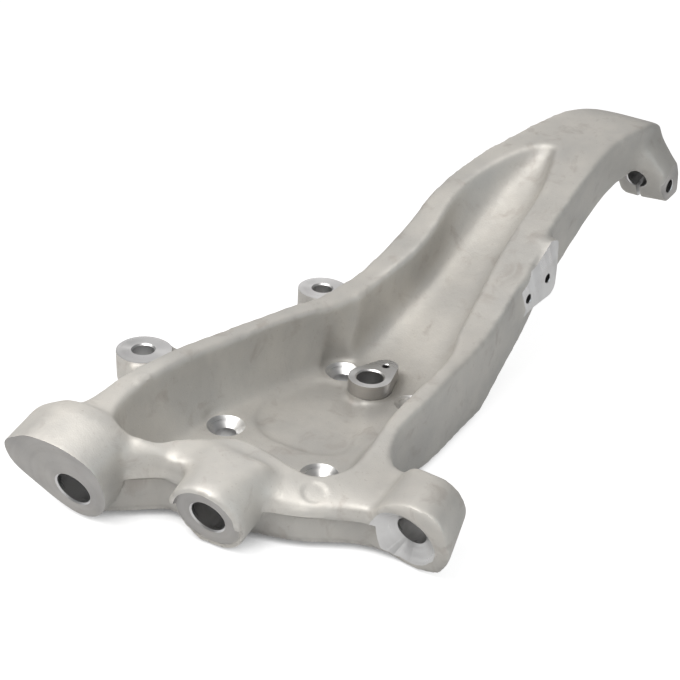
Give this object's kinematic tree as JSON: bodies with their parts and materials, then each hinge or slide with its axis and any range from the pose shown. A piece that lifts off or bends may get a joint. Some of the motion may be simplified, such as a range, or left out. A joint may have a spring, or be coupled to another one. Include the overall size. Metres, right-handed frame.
{
  "type": "steering knuckle",
  "caption": "Forged aluminium steering knuckle with a pocketed dish, a bearing flange, lower joint bosses and a gooseneck with a split clamp.",
  "frame": {"origin": "on the wheel axis, in the plane of the wheel bearing face", "axes": "+Z along the wheel axis, inboard, away from the wheel; +Y along the gooseneck towards the top joint; +X towards the side with the bracket pad"},
  "size_m": [0.2675, 0.5381, 0.1519],
  "materials": {
    "forging": "sand-blasted forging with bright machined faces"
  },
  "bodies": {
    "root": {"knuckle": "forging"}
  },
  "joints": []
}
